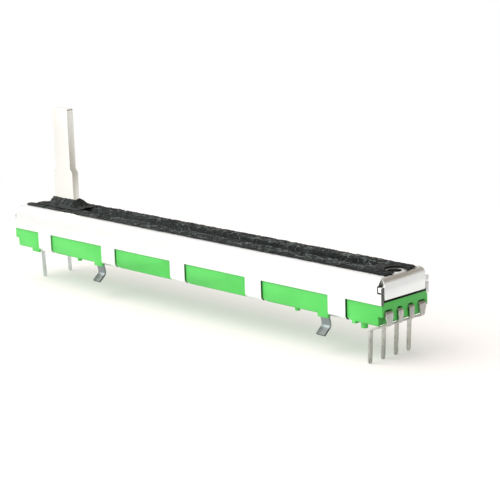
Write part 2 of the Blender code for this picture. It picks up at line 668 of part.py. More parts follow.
def make_lead(name, end, position, material):
    """A lead: tongue on the track, curl over the base's end, sloping link and pin."""
    width = LEAD_WIDTHS[position]
    tongue_y = position * TONGUE_PITCH
    notch_y = position * NOTCH_PITCH
    pin_y = position * PIN_PITCH
    curl_x = BASE_HALF_LENGTH + LEAD_STANDOFF
    flare_x = CAVITY_HALF_LENGTH + SEAT_GAP
    link_x = curl_x - LINK_REACH
    tip_x = link_x - PIN_LEAN
    point = PIN_POINT_LENGTH / (LINK_BOTTOM - PIN_TIP)
    knee = (link_x, LINK_BOTTOM, pin_y, PIN_WIDTH)
    path = [
        (flare_x - SEAT_GAP - TONGUE_LENGTH, TONGUE_HEIGHT, tongue_y, TONGUE_WIDTH),
        (flare_x, TONGUE_HEIGHT, tongue_y, TONGUE_WIDTH),
        (flare_x + TONGUE_FLARE, TONGUE_HEIGHT, notch_y, width),
        (curl_x, TONGUE_HEIGHT, notch_y, width),
        (curl_x, CURL_TAPER_TOP, notch_y, width),
        (curl_x, CURL_BOTTOM, notch_y, CURL_FOOT_WIDTH),
        knee,
        (tip_x + PIN_LEAN * point, PIN_TIP + PIN_POINT_LENGTH, pin_y, PIN_WIDTH),
        (tip_x, PIN_TIP, pin_y, PIN_POINT_WIDTH),
    ]
    bends = [CURL_BEND] * (len(path) - 2)
    bends[path.index(knee) - 1] = KNEE_BEND
    shape = bmesh.new()
    add_strip(shape, [(end * x, z, y, across) for x, z, y, across in path],
              LEAD_THICKNESS, bends, "Y")
    return make_object(name, shape, material)


def make_leg(name, tab, material):
    """A mounting leg that kicks outwards below the base."""
    middle = TAB_PLACES[tab] - LIP_OFFSET
    stations = [
        (-LEG_PLACE, LEG_ROOT, middle, LEG_WIDTH),
        (-LEG_PLACE, LEG_EXIT, middle, LEG_WIDTH),
        (LEG_LEAN - LEG_PLACE, LEG_KNEE, middle, LEG_WIDTH),
        (LEG_LEAN - LEG_PLACE - LEG_KICK, LEG_TIP, middle, LEG_WIDTH),
    ]
    shape = bmesh.new()
    add_strip(shape, stations, LEG_THICKNESS, LEG_BEND, "X")
    return make_object(name, shape, material)


def make_lever(material, slider):
    """The lever: a foot held in the carriage, a broad neck and a narrower tip."""
    foot_bottom = CARRIAGE_BOTTOM + POCKET_FLOOR + SEAT_GAP
    foot_top = CARRIAGE_TOP - SEAT_GAP
    shoulder = COVER_TOP + SHOULDER_RISE
    tip = COVER_TOP + LEVER_RISE
    right = [
        (HALF_FOOT, foot_bottom),
        (HALF_FOOT, foot_top),
        (LEVER_WIDTH / 2, foot_top),
        (LEVER_WIDTH / 2, shoulder),
        (LEVER_TIP_WIDTH / 2, shoulder + SHOULDER_HEIGHT),
    ]
    corner = (LEVER_TIP_WIDTH / 2 - LEVER_TIP_ROUND, tip - LEVER_TIP_ROUND)
    right += arc(corner, LEVER_TIP_ROUND, 0, 90)
    outline = right + [(-x, z) for x, z in reversed(right)]
    shape = bmesh.new()
    add_prism(shape, outline, "Y", -LEVER_THICKNESS / 2, LEVER_THICKNESS / 2)
    lever = make_object("lever", shape, material, slider)
    edges = lever.modifiers.new("edges", "BEVEL")
    edges.width = LEVER_EDGE
    edges.segments = 2
    edges.limit_method = "ANGLE"
    edges.angle_limit = SHARP_EDGE
    return lever


def make_carriage(material, slider):
    """The carriage: its lower part runs in the tray, its upper part between the cover's walls."""
    half_lower = HALF_CAVITY - RUN_GAP
    half_upper = HALF_COVER - SHEET - GUIDE_GAP
    flange = SILL_TOP + RUN_GAP
    right = [
        (half_lower, CARRIAGE_BOTTOM),
        (half_lower, flange),
        (half_upper, flange),
        (half_upper, CARRIAGE_TOP - CARRIAGE_CHAMFER),
        (half_upper - CARRIAGE_CHAMFER, CARRIAGE_TOP),
    ]
    outline = right + [(-y, z) for y, z in reversed(right)]
    shape = bmesh.new()
    add_prism(shape, outline, "X", -CARRIAGE_HALF_LENGTH, CARRIAGE_HALF_LENGTH)
    carriage = make_object("carriage", shape, material, slider)
    half_pocket = HALF_FOOT + SEAT_GAP
    half_depth = LEVER_THICKNESS / 2 + SEAT_GAP
    pocket = bmesh.new()
    add_box(pocket, (-half_pocket, half_pocket), (-half_depth, half_depth),
            (CARRIAGE_BOTTOM + POCKET_FLOOR, CARRIAGE_TOP + CLEAR))
    combine(carriage, make_object("carriage_pocket", pocket, None, slider), "DIFFERENCE")
    return carriage


def make_wiper(name, positions, material, slider):
    """A plate under the carriage with two sprung arms on each of its two tracks."""
    plate_top = CARRIAGE_BOTTOM - LAYER_GAP
    plate_middle = plate_top - WIPER_PLATE / 2
    half_plate = WIPER_PLATE_LENGTH / 2
    contact = TRACK_TOP + LAYER_GAP + WIPER_SHEET
    edges = [position * TRACK_PITCH for position in positions]
    plate = bmesh.new()
    add_box(plate, (-half_plate, half_plate),
            (min(edges) - TRACK_WIDTH / 2, max(edges) + TRACK_WIDTH / 2),
            (plate_top - WIPER_PLATE, plate_top))
    wiper = make_object(name, plate, material, slider)
    arms = bmesh.new()
    for edge in edges:
        for side in (-1, 1):
            across = edge + side * WIPER_ARM_PITCH / 2
            stations = [
                (half_plate - 2 * OVERLAP, plate_middle),
                (half_plate + OVERLAP, plate_middle),
                (half_plate + WIPER_ARM_LENGTH, contact),
                (half_plate + WIPER_ARM_LENGTH + WIPER_TIP_LENGTH, contact + WIPER_TIP_RISE),
            ]
            add_strip(arms, [(x, z, across, WIPER_ARM_WIDTH) for x, z in stations],
                      WIPER_SHEET, WIPER_BEND, "Y")
    combine(wiper, make_object(name + "_arms", arms, None, slider), "UNION")
    return wiper


def make_slider_spring(material, slider):
    """The bowed leaf that keeps the carriage down, open in the middle for the lever."""
    low = CARRIAGE_TOP + LAYER_GAP + SPRING_SHEET / 2
    high = COVER_CEILING - LAYER_GAP - SPRING_SHEET / 2
    half_length = CARRIAGE_HALF_LENGTH - SPRING_INSET
    half_flat = half_length - SPRING_RAMP
    stations = [(-half_length, low), (-half_flat, high), (half_flat, high), (half_length, low)]
    leaf = bmesh.new()
    add_strip(leaf, [(x, z, 0, SPRING_WIDTH) for x, z in stations], SPRING_SHEET, SPRING_BEND, "Y")
    spring = make_object("slider_spring", leaf, material, slider)
    half_hole = LEVER_WIDTH / 2 + STOP_GAP
    half_depth = LEVER_THICKNESS / 2 + SLOT_GAP
    hole = bmesh.new()
    add_box(hole, (-half_hole, half_hole), (-half_depth, half_depth),
            (low - CLEAR, high + CLEAR))
    combine(spring, make_object("spring_hole", hole, None, slider), "DIFFERENCE")
    return spring


def build():
    clear_scene()
    plated = make_material("plated_steel", (0.78, 0.77, 0.74), 0.32, 1.0)
    green = make_material("green_moulding", (0.14, 0.7, 0.14), 0.45, 0.0)
    felt = make_material("dark_strip", (0.05, 0.055, 0.05), 0.95, 0.0)
    lever_steel = make_material("lever_steel", (0.86, 0.85, 0.8), 0.35, 1.0)
    tinned = make_material("tinned_brass", (0.62, 0.61, 0.56), 0.4, 1.0)
    zinc = make_material("zinc_plated", (0.5, 0.56, 0.56), 0.4, 1.0)
    phenolic = make_material("brown_board", (0.3, 0.16, 0.07), 0.6, 0.0)
    carbon = make_material("carbon_ink", (0.02, 0.02, 0.02), 0.7, 0.0)
    silver = make_material("silver_ink", (0.7, 0.7, 0.7), 0.4, 1.0)
    black = make_material("black_carriage", (0.03, 0.03, 0.03), 0.5, 0.0)
    bronze = make_material("spring_bronze", (0.75, 0.55, 0.3), 0.35, 1.0)

    make_cover(plated)
    make_dust_strip(felt)
    make_base(green)
    make_board(phenolic)
    make_track("collector_track_a", NEAR_POSITIONS[0], silver)
    make_track("carbon_track_a", NEAR_POSITIONS[1], carbon)
    make_track("collector_track_b", NEAR_POSITIONS[2], silver)
    make_track("carbon_track_b", NEAR_POSITIONS[3], carbon)
    for number, position in enumerate(NEAR_POSITIONS, 1):
        make_lead("terminal_near_%d" % number, 1, position, tinned)
    for number, position in enumerate(FAR_POSITIONS, 1):
        make_lead("terminal_far_%d" % number, -1, position, tinned)
    for number, tab in enumerate(LEG_TABS, 1):
        make_leg("mounting_leg_%d" % number, tab, zinc)

    slider = bpy.data.objects.new("slider", None)
    slider.location.x = LEVER_REST
    bpy.context.collection.objects.link(slider)
    make_lever(lever_steel, slider)
    make_carriage(black, slider)
    make_wiper("wiper_a", NEAR_POSITIONS[:2], bronze, slider)
    make_wiper("wiper_b", NEAR_POSITIONS[2:], bronze, slider)
    make_slider_spring(bronze, slider)


build()
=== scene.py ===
"""Looks of the slide potentiometer: eased metal edges, a fibrous dust strip, finishes, light and camera.

Lengths are in millimetres, and MM turns them into metres for Blender. Only the lamps are placed in metres.
"""

import math
import random
from collections import namedtuple

import bmesh
import bpy
from mathutils import Euler, Matrix, Vector, noise


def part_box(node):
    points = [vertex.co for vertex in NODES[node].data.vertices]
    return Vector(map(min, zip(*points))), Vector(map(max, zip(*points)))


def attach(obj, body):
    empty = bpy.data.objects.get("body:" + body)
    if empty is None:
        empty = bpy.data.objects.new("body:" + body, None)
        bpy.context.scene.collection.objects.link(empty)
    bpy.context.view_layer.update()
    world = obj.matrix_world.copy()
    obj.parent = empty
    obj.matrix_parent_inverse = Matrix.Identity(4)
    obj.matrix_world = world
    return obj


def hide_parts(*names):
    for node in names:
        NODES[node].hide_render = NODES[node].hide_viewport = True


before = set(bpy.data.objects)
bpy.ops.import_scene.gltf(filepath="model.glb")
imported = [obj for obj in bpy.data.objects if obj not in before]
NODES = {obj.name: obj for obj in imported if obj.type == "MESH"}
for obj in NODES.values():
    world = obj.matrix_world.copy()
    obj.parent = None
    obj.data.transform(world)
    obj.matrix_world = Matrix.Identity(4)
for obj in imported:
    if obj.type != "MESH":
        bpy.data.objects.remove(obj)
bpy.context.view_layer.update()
MM = 0.001


# Places on the part, with x along the travel, y across and z up

COVER_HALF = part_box("cover")[1].y / MM
WALL = 0.6                            # the cover's sheet and its gap to the moulding
TRAY_WALL = 0.5
TRAY_HALF = COVER_HALF - WALL - TRAY_WALL
TRAY_DARK_END = 33.2                  # the tray's inside is dark up to here, either way
BASE_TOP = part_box("base")[1].z / MM
LEG_KNEE = -1.6
HOLE_CENTRE = 35.75                   # from the part's middle to each fixing hole

FELT_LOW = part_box("dust_strip")[0] / MM
FELT_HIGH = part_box("dust_strip")[1] / MM
FELT_MIDDLE_Z = (FELT_LOW.z + FELT_HIGH.z) / 2
LEVER_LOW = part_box("lever")[0] / MM
LEVER_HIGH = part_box("lever")[1] / MM
LEVER_MIDDLE = (LEVER_LOW.x + LEVER_HIGH.x) / 2

SLIT_EDGE = LEVER_HIGH.y + 0.1        # from the middle to the slit's edges, and to its ends
SLIT_END = 32.475
FRONT_EDGE_FAR = 2.8                  # from the middle to the felt's front edge, at its far and near ends
FRONT_EDGE_NEAR = -FELT_LOW.y
NEAR_NOTCH = Vector((FELT_HIGH.x - 0.65, -0.1))
NEAR_NOTCH_RADIUS = 1.15
FAR_NOTCH = Vector((FELT_LOW.x + 0.2, -0.1))
FAR_NOTCH_RADIUS = 2.0
NEAR_HOLE = Vector((HOLE_CENTRE, 0.0))
HOLE_CLEAR = 1.25                     # radius of the felt's edge round the near hole
PALE_END = 33.0                       # no pale fibres start nearer the near end

MATTED = 0.03                         # how uneven the felt's top is
TOP_DROOP = 0.5                       # how far the felt hangs into the slit, on top and underneath
UNDER_DROOP = 0.42
DROOP_ROWS = (-0.88, -0.78, 0.78, 0.88)
WORN_EDGE = 0.14                      # how much lower its long edges and its near end are worn
WORN_END = 0.12
OVERHANG = 0.12                       # how far fibres may stand over its long edges

LIP_REACH = 4.7                       # from the lever's middle to the lips' ends
LIP_INNER = 0.06                      # from the middle to the lips' edges away from the lever
LIP_BESIDE = LEVER_HIGH.y + 0.03      # the same beside the lever
LIP_OUTER = 2.3
LIP_RISE = 1.12
LIP_THICKNESS = 0.16

EASE_ANGLE = math.radians(50.0)       # sharper edges than this are rounded off
SLIVER = 0.0004                       # what the rounding leaves shorter than this is closed up


# Shader maths

class Wire:
    """A value in a node tree, on which arithmetic adds Math nodes."""

    def __init__(self, nodes, socket):
        self.nodes = nodes
        self.socket = socket

    def maths(self, operation, *values):
        return self.nodes.add("ShaderNodeMath", {"operation": operation}, dict(enumerate(values)))

    def __add__(self, other):
        return self.maths("ADD", self, other)

    def __sub__(self, other):
        return self.maths("SUBTRACT", self, other)

    def __rsub__(self, other):
        return self.maths("SUBTRACT", other, self)

    def __mul__(self, other):
        return self.maths("MULTIPLY", self, other)

    __radd__ = __add__
    __rmul__ = __mul__

    def between(self, low, high):
        """0 below low, 1 above high, smooth between."""
        settings = {"interpolation_type": "SMOOTHSTEP"}
        return self.nodes.add("ShaderNodeMapRange", settings, {0: self, 1: low, 2: high})


class Nodes:
    """A node tree, and the calls that add nodes to it."""

    def __init__(self, tree):
        self.tree = tree

    def add(self, kind, settings, inputs, output=0):
        """A node with its settings, then the values or links of its sockets. Gives one of its outputs."""
        node = self.tree.nodes.new(kind)
        for name, value in settings.items():
            setattr(node, name, value)
        for socket, value in inputs.items():
            if isinstance(value, Wire):
                self.tree.links.new(value.socket, node.inputs[socket])
            else:
                node.inputs[socket].default_value = value
        return Wire(self, node.outputs[output])

    def part(self, vector, axis):
        """A vector's share along one axis."""
        return self.add("ShaderNodeSeparateXYZ", {}, {0: vector}, "XYZ".index(axis))

    def blend(self, factor, first, second):
        """The first colour at 0, the second at 1."""
        colours = [c if isinstance(c, Wire) else (*c, 1.0) for c in (first, second)]
        inputs = {0: factor, 6: colours[0], 7: colours[1]}
        return self.add("ShaderNodeMix", {"data_type": "RGBA"}, inputs, 2)

    def ray(self, kind):
        """1 for light on one kind of path, such as Camera."""
        return self.add("ShaderNodeLightPath", {}, {}, f"Is {kind} Ray")

    def show(self, output, factor, lit, light):
        """Feeds the tree's output with a lit shader, mixed by factor with pure white light."""
        white = self.add(light, {}, {"Color": (1, 1, 1, 1), "Strength": 1.0})
        both = self.add("ShaderNodeMixShader", {}, {0: factor, 1: lit, 2: white})
        self.tree.links.new(both.socket, self.tree.nodes[output].inputs["Surface"])


class Finish(Nodes):
    """A node material on a Principled shader. Constants are set on the shader's own sockets."""

    def __init__(self, name, **constants):
        self.material = bpy.data.materials.new(name)
        self.material.use_nodes = True
        super().__init__(self.material.node_tree)
        self.shader = self.tree.nodes["Principled BSDF"]
        for socket, value in constants.items():
            self.shader.inputs[socket.replace("_", " ")].default_value = value
        place = self.add("ShaderNodeTexCoord", {}, {}, "Object")
        self.place = self.add("ShaderNodeVectorMath", {"operation": "SCALE"}, {0: place, "Scale": 1 / MM})

    def speckle(self, scale, stretch=(1, 1, 1), detail=3.0, rough=0.55, offset=(0, 0, 0)):
        """Noise with its scale in features per millimetre, stretched along the axes."""
        spread = tuple(1 / s for s in stretch)
        mapping = {"Vector": self.place, "Location": offset, "Scale": spread}
        place = self.add("ShaderNodeMapping", {}, mapping)
        inputs = {"Vector": place, "Scale": scale, "Detail": detail, "Roughness": rough}
        return self.add("ShaderNodeTexNoise", {}, inputs)

    def along(self, axis):
        """A coordinate in millimetres."""
        return self.part(self.place, axis)

    def reach(self, axis):
        """The distance from the part's middle along an axis, either way."""
        place = self.along(axis)
        return place.maths("ABSOLUTE", place)

    def facing(self, axis):
        """How squarely the surface faces along an axis, either way."""
        normal = self.add("ShaderNodeTexCoord", {}, {}, "Normal")
        share = self.part(normal, axis)
        return share.maths("ABSOLUTE", share)

    def relief(self, height, depth):
        """Bump with its depth in millimetres."""
        return self.add("ShaderNodeBump", {}, {"Height": height, "Distance": depth * MM, "Strength": 1.0})

    def feed(self, **wires):
        """Links wires to the shader's own sockets."""
        for socket, wire in wires.items():
            self.tree.links.new(wire.socket, self.shader.inputs[socket.replace("_", " ")])
        return self.material


# Finishes

def painted_gap_shade(finish):
    """Painted shade for the gaps at the cover's sheared edges and inside its punched fixing holes: 1 on
    the near wall's edges and in the fixing holes.

    The far wall's edges get less of it, and so do the near wall's away from the near end.
    """
    side = finish.reach("Y")
    reach = finish.reach("X")
    edge_faces = finish.facing("X").between(0.6, 0.8)
    on_wall = side.between(COVER_HALF - WALL - 0.03, COVER_HALF - WALL)
    near_side = 1 - finish.along("Y").between(0.0, 1.0) * 0.7
    near_end = 0.5 + finish.along("X").between(-25.0, 30.0) * 0.5
    upright = 1 - finish.facing("Z").between(0.3, 0.6)
    in_hole = (1 - side.between(1.2, 1.3)) * reach.between(HOLE_CENTRE - 1.25, HOLE_CENTRE - 1.15)
    in_hole = in_hole * (1 - reach.between(HOLE_CENTRE + 1.05, HOLE_CENTRE + 1.1))
    return edge_faces * on_wall * near_side * near_end + upright * in_hole


def shaded_foot(finish):
    """Painted shade on the legs' feet, below the knee, which are darker where they turn away from the light.
    """
    return (1 - finish.along("Z").between(LEG_KNEE - 0.4, LEG_KNEE)) * 0.66


def rolled_sheet(name, bright, dull, rough, grain=(9, 1, 1), mark=0.35, streak=0.0, painted_shade=None,
                 dark=(0.14, 0.14, 0.135)):
    """Plated sheet: faint grain of the rolling, cloudy patches and fine handling marks.

    mark and streak say how strong the marks and the grain's dark lines are, and the last two arguments
    say where shade is painted on and in what colour.
    """
    finish = Finish(name, Metallic=1.0)
    clouds = finish.speckle(0.18, (2.2, 1, 1), 4.0)
    lines = finish.speckle(7.0, grain, 4.0, 0.6)
    pits = finish.speckle(5.0, (1, 1, 1), 2.0, 0.5, (7, 3, 1)).between(0.66, 0.78)
    colour = finish.blend(clouds.between(0.3, 0.7), dull, bright)
    colour = finish.blend(pits * mark, colour, tuple(0.55 * c for c in dull))
    if streak:
        colour = finish.blend(lines.between(0.42, 0.66) * streak, colour, tuple(0.45 * c for c in dull))
    # Painted shade, in the dark colour, where the given mask says.
    if painted_shade:
        colour = finish.blend(painted_shade(finish), colour, dark)
    roughness = lines * 0.14 + clouds * 0.1 + (rough - 0.12) + pits * 0.15
    return finish.feed(Base_Color=colour, Roughness=roughness, Normal=finish.relief(lines, 0.004))


def moulded_green():
    """Bright thermoplastic with faint flow lines along the moulding and a fine skin.

    Above the end walls and inside the tray, where the cover shuts the light out, it is dark.
    """
    finish = Finish("moulded green", Specular_IOR_Level=0.45)
    flow = finish.speckle(1.6, (8, 1, 0.5), 4.0, 0.6)
    skin = finish.speckle(11.0, (1, 1, 1), 2.0, 0.5)
    clouds = finish.speckle(0.25, (1.5, 1, 1), 3.0)
    colour = finish.blend(clouds.between(0.3, 0.7), (0.092, 0.61, 0.102), (0.116, 0.675, 0.125))
    colour = finish.blend(flow.between(0.58, 0.8) * 0.5, colour, (0.17, 0.74, 0.175))
    height = finish.along("Z")
    over_floor = height.between(0.35, 0.5)
    in_tray = over_floor * (1 - finish.reach("X").between(TRAY_DARK_END, TRAY_DARK_END + 0.8))
    in_tray = in_tray * (1 - finish.reach("Y").between(TRAY_HALF + 0.04, TRAY_HALF + 0.1))
    colour = finish.blend(in_tray, colour, (0.01, 0.04, 0.012))
    colour = finish.blend(height.between(BASE_TOP - 0.08, BASE_TOP - 0.02), colour, (0.008, 0.03, 0.009))
    roughness = skin * 0.16 + 0.36
    return finish.feed(Base_Color=colour, Roughness=roughness, Normal=finish.relief(skin + flow, 0.012))


def felt_body():
    """Dense felt of black and greyed fibres in coarse tufts, dusty far off and black near the end."""
    finish = Finish("felt", Sheen_Weight=0.1, Sheen_Roughness=0.5, Specular_IOR_Level=0.15)
    tufts = finish.speckle(1.7, (1.8, 0.9, 1), 5.0, 0.7)
    strands = finish.speckle(4.2, (2.2, 0.7, 1), 4.0, 0.7, (4, 9, 2))
    crossed = finish.speckle(4.6, (0.8, 2.0, 1), 4.0, 0.7, (14, 2, 5))
    wear = finish.speckle(0.25, (3, 1, 1), 3.0)
    black = (0.004, 0.005, 0.005)
    colour = finish.blend(tufts.between(0.35, 0.7), black, (0.018, 0.022, 0.021))
    colour = finish.blend(strands.between(0.55, 0.7) * 0.75, colour, (0.08, 0.098, 0.094))
    colour = finish.blend(crossed.between(0.56, 0.7) * 0.75, colour, (0.004, 0.006, 0.006))
    length = finish.along("X")
    dust = (1 - length.between(-30.0, 25.0)) * 0.3 + wear.between(0.45, 0.75) * 0.15
    colour = finish.blend(dust, colour, (0.055, 0.064, 0.058))
    colour = finish.blend(length.between(28.5, 35.0) * 0.6, colour, black)
    weave = finish.relief(tufts + strands + crossed, 0.09)
    return finish.feed(Base_Color=colour, Roughness=0.86 + tufts * 0.12, Normal=weave)


def felt_hair(name, dark, light):
    """Loose fibres of the felt, each a little lighter or darker along its length."""
    finish = Finish(name, Sheen_Weight=0.1, Specular_IOR_Level=0.2)
    tone = finish.speckle(1.4, (1, 1, 1), 3.0)
    colour = finish.blend(tone.between(0.35, 0.65), dark, light)
    return finish.feed(Base_Color=colour, Roughness=0.6 + tone * 0.3)


def laminate():
    """Brown board with its fibres along the travel."""
    finish = Finish("board laminate")
    fibre = finish.speckle(2.5, (4, 1, 1), 5.0, 0.65)
    colour = finish.blend(fibre.between(0.3, 0.7), (0.22, 0.11, 0.045), (0.36, 0.2, 0.09))
    return finish.feed(Base_Color=colour, Roughness=0.5 + fibre * 0.25, Normal=finish.relief(fibre, 0.01))


def printed_ink(name, dark, light, metallic, rough):
    """Printed track, grainy and wiped along the travel."""
    finish = Finish(name, Metallic=metallic)
    grain = finish.speckle(12.0, (1, 1, 1), 4.0, 0.6)
    wiped = finish.speckle(3.0, (30, 1, 1), 3.0, 0.5)
    colour = finish.blend((grain + wiped).between(0.7, 1.3), dark, light)
    return finish.feed(Base_Color=colour, Roughness=rough + wiped * 0.2, Normal=finish.relief(grain, 0.005))


def moulded_black():
    """Black thermoplastic with a fine skin."""
    finish = Finish("moulded black")
    skin = finish.speckle(8.0, (1, 1, 1), 4.0, 0.6)
    colour = finish.blend(skin, (0.018, 0.018, 0.018), (0.045, 0.045, 0.045))
    return finish.feed(Base_Color=colour, Roughness=0.4 + skin * 0.2, Normal=finish.relief(skin, 0.01))


# Pieces

def settle(shape, name, smooth_angle=40.0):
    """Turns a bmesh into an object, smooth except at its sharp edges."""
    limit = math.radians(smooth_angle)
    for face in shape.faces:
        face.smooth = True
    for edge in shape.edges:
        edge.smooth = len(edge.link_faces) == 2 and edge.calc_face_angle(0.0) < limit
    mesh = bpy.data.meshes.new(name)
    shape.to_mesh(mesh)
    shape.free()
    made = bpy.data.objects.new(name, mesh)
    bpy.context.scene.collection.objects.link(made)
    return made


def coat(made, finish):
    """Gives a piece its one finish."""
    made.data.materials.clear()
    made.data.materials.append(finish)


def merged_copy(node):
    """The node's shape with its loose triangles joined again into flat faces."""
    shape = bmesh.new()
    shape.from_mesh(NODES[node].data)
    bmesh.ops.remove_doubles(shape, verts=shape.verts, dist=0.0005 * MM)
    bmesh.ops.dissolve_limit(shape, angle_limit=math.radians(0.6), verts=shape.verts, edges=shape.edges)
    bmesh.ops.recalc_face_normals(shape, faces=shape.faces)
    return shape


def eased(node, body, width, finish):
    """Stands for a node, with its sharp edges rounded off."""
    shape = merged_copy(node)
    edges = [e for e in shape.edges if len(e.link_faces) == 2 and e.calc_face_angle(0.0) > EASE_ANGLE]
    bmesh.ops.bevel(
        shape,
        geom=edges,
        offset=width * MM,
        offset_type="OFFSET",
        affect="EDGES",
        segments=2,
        profile=0.5,
        material=-1,
        clamp_overlap=True,
    )
    bmesh.ops.dissolve_degenerate(shape, dist=SLIVER * MM, edges=shape.edges)
    made = settle(shape, node + "_eased")
    coat(made, finish)
    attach(made, body)
    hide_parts(node)


def falloff(value, start, end):
    """1 up to start, 0 from end on, smooth between."""
    share = min(max((end - value) / (end - start), 0.0), 1.0)
    return share * share * (3 - 2 * share)


# Dust strip

def front_edge(x):
    """Where the felt's front edge runs: a little nearer the middle towards the far end."""
    share = (x - FELT_LOW.x) / (FELT_HIGH.x - FELT_LOW.x)
    return -(FRONT_EDGE_FAR + (FRONT_EDGE_NEAR - FRONT_EDGE_FAR) * share)


def beside_slit(x, y, width):
    """1 at the slit's edge, 0 from width on and past the slit's ends."""
    return falloff(abs(y), SLIT_EDGE, width) * falloff(abs(x), SLIT_END - 0.3, SLIT_END + 0.2)


def felt_surface(x, y):
    """Height of the felt's top: matted, drooping into the slit and worn down at its outer edges."""
    spot = Vector((x, y, 0))
    height = FELT_HIGH.z - 3 * MATTED + (noise.noise(spot * 1.3) + noise.noise(spot * 3.7)) * MATTED
    height -= TOP_DROOP * beside_slit(x, y, 1.0)
    height -= WORN_EDGE * (falloff(FELT_HIGH.y - y, 0.0, 0.25) + falloff(y - front_edge(x), 0.0, 0.25))
    return height - WORN_END * falloff(FELT_HIGH.x - x, 0.0, 0.6)


def strayed(spot, y):
    """How far a place on the felt has strayed along and across: little at the slit, more further out."""
    loose = 0.02 + 0.13 * falloff(-abs(y), -1.4, -1.0)
    coarse = spot * 2.1
    fine = spot * 5.3
    along = noise.noise(coarse) + noise.noise(fine) / 2
    across = noise.noise(coarse + Vector((9, 4, 0))) + noise.noise(fine + Vector((3, 7, 0))) / 2
    return along * loose, across * loose


def cut_back(x, y):
    """Moves a place on the felt away from the near fixing hole, so that the hole has a bare metal rim."""
    taken_up = 0.7    # what is nearer the hole's middle than this all comes to the felt's new edge
    calm = 2.2        # nothing moves from here on
    out = Vector((x, y)) - NEAR_HOLE
    if out.length > calm:
        return x, y
    share = max(out.length - taken_up, 0.0) / (calm - taken_up)
    return NEAR_HOLE + out.normalized() * (HOLE_CLEAR + share * (calm - HOLE_CLEAR))


def cut_into_rows(shape):
    """Cuts the strip into a fine grid, with more rows beside the slit."""
    spacing = 0.28
    rows = {0: [], 1: list(DROOP_ROWS)}
    for axis, places in rows.items():
        length = FELT_HIGH[axis] - FELT_LOW[axis]
        cuts = int(length / spacing)
        places += [FELT_LOW[axis] + length * number / cuts for number in range(1, cuts)]
        for place in places:
            point = Vector((0, 0, 0))
            point[axis] = place * MM
            bmesh.ops.bisect_plane(shape, geom=shape.verts[:] + shape.edges[:] + shape.faces[:],
                                   plane_co=point, plane_no=Vector((1 - axis, axis, 0)), dist=1e-7)


def make_felt(finish):
    """The dust strip: a matted sheet with ragged edges, cut from the node's outline."""
    shape = merged_copy("dust_strip")
    cut_into_rows(shape)
    for vert in shape.verts:
        spot = vert.co / MM
        x, y, z = spot
        if y < -SLIT_EDGE:
            taper = (front_edge(x) + SLIT_EDGE) / (FELT_LOW.y + SLIT_EDGE)
            y = -SLIT_EDGE + (y + SLIT_EDGE) * taper
        if z > FELT_MIDDLE_Z:
            z = felt_surface(x, y)
        else:
            z -= UNDER_DROOP * beside_slit(x, y, max(DROOP_ROWS))
        along, across = strayed(spot, y)
        x, y = cut_back(x + along, y + across)
        vert.co = Vector((x, y, z)) * MM
    made = settle(shape, "dust_strip_felt", 60.0)
    coat(made, finish)
    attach(made, "housing")
    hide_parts("dust_strip")


def lip_surface(x, y):
    """Height of the felt that the lever pushes up, with x from the lever's middle."""
    crest = 0.62      # the lips stand highest from here in
    shoulder = 2.6    # and up to here along the lever, either way
    foot = 3.15 if x < 0 else 3.7
    across = min(max((abs(y) - crest) / (LIP_OUTER - crest), 0.0), 1.0)
    along = falloff(abs(x), shoulder, foot)
    ruffle = noise.noise(Vector((x * 1.6, y, 3.0))) * 0.12
    return FELT_HIGH.z + 0.06 + (LIP_RISE + ruffle) * along * (1 - across) ** 1.7


def lip_edge(x):
    """How far a lip's inner edge is from the middle: clear of the lever, and wide again at the ends."""
    beside_lever = falloff(abs(x), 2.45, 2.95)
    at_ends = 1 - falloff(abs(x), LIP_REACH - 0.4, LIP_REACH)
    return LIP_INNER + (LIP_BESIDE - LIP_INNER) * max(beside_lever, at_ends)


def make_lips(finish):
    """The felt beside the slit, pushed up by the lever: two soft lips that travel with it."""
    shape = bmesh.new()
    bmesh.ops.create_grid(shape, x_segments=64, y_segments=14, size=0.5)
    for vert in shape.verts:
        x = vert.co.x * 2 * LIP_REACH
        inner = lip_edge(x)
        y = -(inner + (LIP_OUTER - inner) * (vert.co.y + 0.5))
        vert.co = Vector((x + LEVER_MIDDLE, y, lip_surface(x, y))) * MM
    bmesh.ops.recalc_face_normals(shape, faces=shape.faces)
    bmesh.ops.solidify(shape, geom=shape.faces[:], thickness=-LIP_THICKNESS * MM)
    for vert in shape.verts:
        vert.co.z = max(vert.co.z, (FELT_HIGH.z + 0.05) * MM)
        vert.co.y = min(vert.co.y, -LIP_INNER / 2 * MM)
    bmesh.ops.mirror(shape, geom=shape.verts[:] + shape.edges[:] + shape.faces[:], axis="Y", merge_dist=-1)
    bmesh.ops.recalc_face_normals(shape, faces=shape.faces)
    made = settle(shape, "felt_lips", 60.0)
    coat(made, finish)
    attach(made, "slider")


# Loose fibres

def on_felt(x, y):
    """Whether a fibre may lie there: on the felt, clear of the slit and the notches."""
    spot = Vector((x, y))
    return (
        abs(y) > SLIT_EDGE - 0.02
        and front_edge(x) - OVERHANG < y < FELT_HIGH.y + OVERHANG
        and FELT_LOW.x - 0.1 < x < FELT_HIGH.x + 0.1
        and (spot - NEAR_NOTCH).length > NEAR_NOTCH_RADIUS + 0.25
        and (spot - NEAR_HOLE).length > HOLE_CLEAR + 0.15
        and (x < NEAR_NOTCH.x or abs(y - NEAR_NOTCH.y) > NEAR_NOTCH_RADIUS - 0.05)
        and (spot - FAR_NOTCH).length > FAR_NOTCH_RADIUS
    )


def on_lips(x, y):
    """Whether a fibre may lie there: on the lips, clear of the lever, with x from its middle."""
    inner = 0.64 if abs(x) < 2.5 else 0.1
    return inner < abs(y) < LIP_OUTER - 0.1 and abs(x) < LIP_REACH - 0.3


